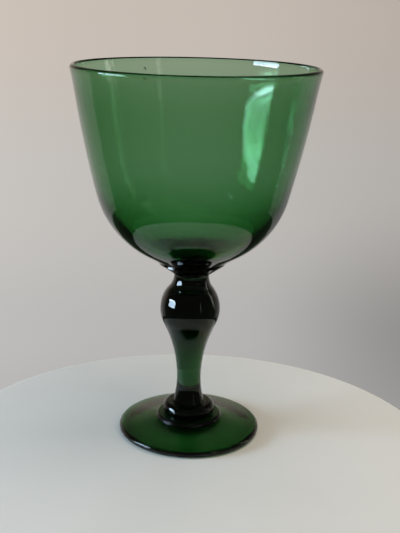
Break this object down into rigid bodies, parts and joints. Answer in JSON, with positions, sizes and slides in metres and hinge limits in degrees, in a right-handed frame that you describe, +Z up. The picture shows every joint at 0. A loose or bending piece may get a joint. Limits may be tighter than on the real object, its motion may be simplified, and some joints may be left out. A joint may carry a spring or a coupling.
{
  "type": "goblet",
  "caption": "Large green blown-glass goblet: deep open bowl on a knopped baluster stem, for holding drinks or display, standing on a round conical foot.",
  "frame": {"origin": "centre of the plane that the foot stands on", "axes": "+Z up along the axis of the stem and bowl; X and Y are alike, because every piece is turned about Z"},
  "size_m": [0.1852, 0.1852, 0.29],
  "materials": {
    "green_glass": "clear, fire-polished, solid-coloured bottle green"
  },
  "bodies": {
    "root": {"bowl": "green_glass", "merese": "green_glass", "baluster_stem": "green_glass", "upper_collar": "green_glass", "lower_collar": "green_glass", "foot": "green_glass", "pontil_scar": "green_glass"}
  },
  "joints": []
}
